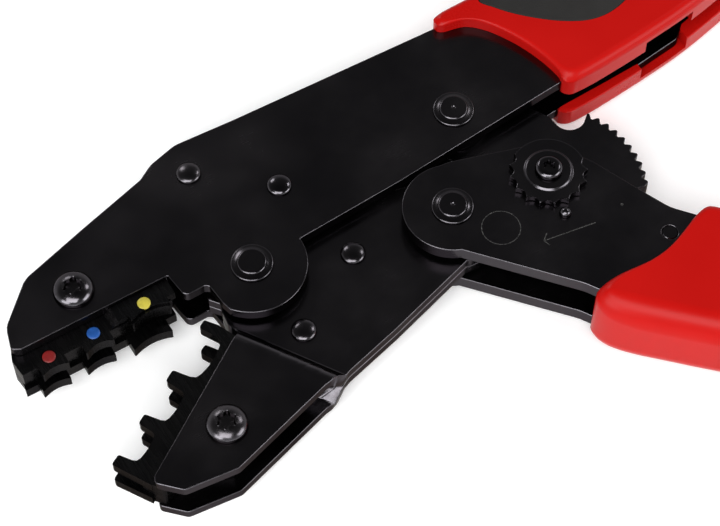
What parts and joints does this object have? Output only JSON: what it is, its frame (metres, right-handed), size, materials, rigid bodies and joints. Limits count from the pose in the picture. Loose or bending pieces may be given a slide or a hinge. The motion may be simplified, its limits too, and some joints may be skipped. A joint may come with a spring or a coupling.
{
  "type": "ratchet crimping tool",
  "caption": "Hand crimping tool with plate frame, hinged lower jaw, crimping dies, toothed ratchet link, pawl, star-wheel adjuster and two plastic grips.",
  "frame": {"origin": "on the main pivot's axis, at the flat rear end of its pin", "axes": "+X from the jaws towards the fixed handle, +Y from the moving handle's side to the fixed handle's side, +Z from the rear face to the front face, up when the tool lies on its rear side"},
  "size_m": [0.2186, 0.1544, 0.0196],
  "materials": {
    "black_steel": "blued, near-black, glossy",
    "die_steel": "black oxide on machined steel",
    "red_plastic": "moulded, glossy",
    "soft_inlay": "soft touch, matte",
    "dot_red": "filled enamel dot",
    "dot_blue": "filled enamel dot",
    "dot_yellow": "filled enamel dot"
  },
  "bodies": {
    "frame": {"frame_plate_front": "black_steel", "frame_plate_rear": "black_steel", "frame_rivet_upper": "black_steel", "frame_rivet_lower": "black_steel", "frame_spacer_upper": "black_steel", "frame_spacer_lower": "black_steel", "main_pivot_pin": "black_steel", "link_anchor_pin": "black_steel", "main_washer_front": "black_steel", "main_washer_rear": "black_steel", "link_washer_front": "black_steel", "link_washer_rear": "black_steel", "upper_die": "die_steel", "upper_die_screw": "black_steel", "upper_die_nut": "black_steel", "size_dot_red": "dot_red", "size_dot_blue": "dot_blue", "size_dot_yellow": "dot_yellow", "upper_grip_front": "red_plastic", "upper_grip_rear": "red_plastic", "grip_inlay_front": "soft_inlay", "grip_inlay_rear": "soft_inlay"},
    "lever": {"lever_plate_front": "black_steel", "lever_plate_rear": "black_steel", "lever_rivet_upper": "black_steel", "lever_rivet_lower": "black_steel", "lower_die": "die_steel", "lower_die_screw": "black_steel", "lower_die_nut": "black_steel"},
    "handle": {"handle_plate_front": "black_steel", "handle_plate_rear": "black_steel", "handle_pivot_pin": "black_steel", "handle_washer_front": "black_steel", "handle_washer_rear": "black_steel", "adjuster_washer_front": "black_steel", "adjuster_washer_rear": "black_steel", "lock_pin": "black_steel", "pawl_pin": "black_steel", "pawl_spring": "black_steel", "lower_grip": "red_plastic"},
    "link": {"toothed_link": "black_steel"},
    "pawl": {"pawl": "black_steel"},
    "adjuster": {"star_wheel": "black_steel", "eccentric_pin": "black_steel", "adjuster_screw": "black_steel"}
  },
  "joints": [
    {"name": "lever_pivot", "type": "hinge", "parent": "frame", "child": "lever", "pos_m": [0, 0, 0.0073], "axis": [0, 0, 1], "range_deg": [-29.5, 0]},
    {"name": "handle_pivot", "type": "hinge", "parent": "lever", "child": "handle", "pos_m": [0.04, -0.0094, 0.0073], "axis": [0, 0, 1], "range_deg": [0, 84], "stiffness_Nm_per_rad": 0.1},
    {"name": "link_pivot", "type": "hinge", "parent": "handle", "child": "link", "pos_m": [0.0602, -0.0128, 0.0073], "axis": [0, 0, 1], "range_deg": [-85.7, 0]},
    {"name": "pawl_pivot", "type": "hinge", "parent": "handle", "child": "pawl", "pos_m": [0.0732, -0.0362, 0.0073], "axis": [0, 0, 1], "range_deg": [-22, 0]},
    {"name": "adjuster_turn", "type": "hinge", "parent": "handle", "child": "adjuster", "pos_m": [0.0602, -0.0128, 0.0073], "axis": [0, 0, 1], "range_deg": [-100, 110]}
  ],
  "couplings": [
    {"joint": "lever_pivot", "follows": "handle_pivot", "ratio": -0.35119},
    {"joint": "link_pivot", "follows": "handle_pivot", "ratio": -1.0202}
  ]
}
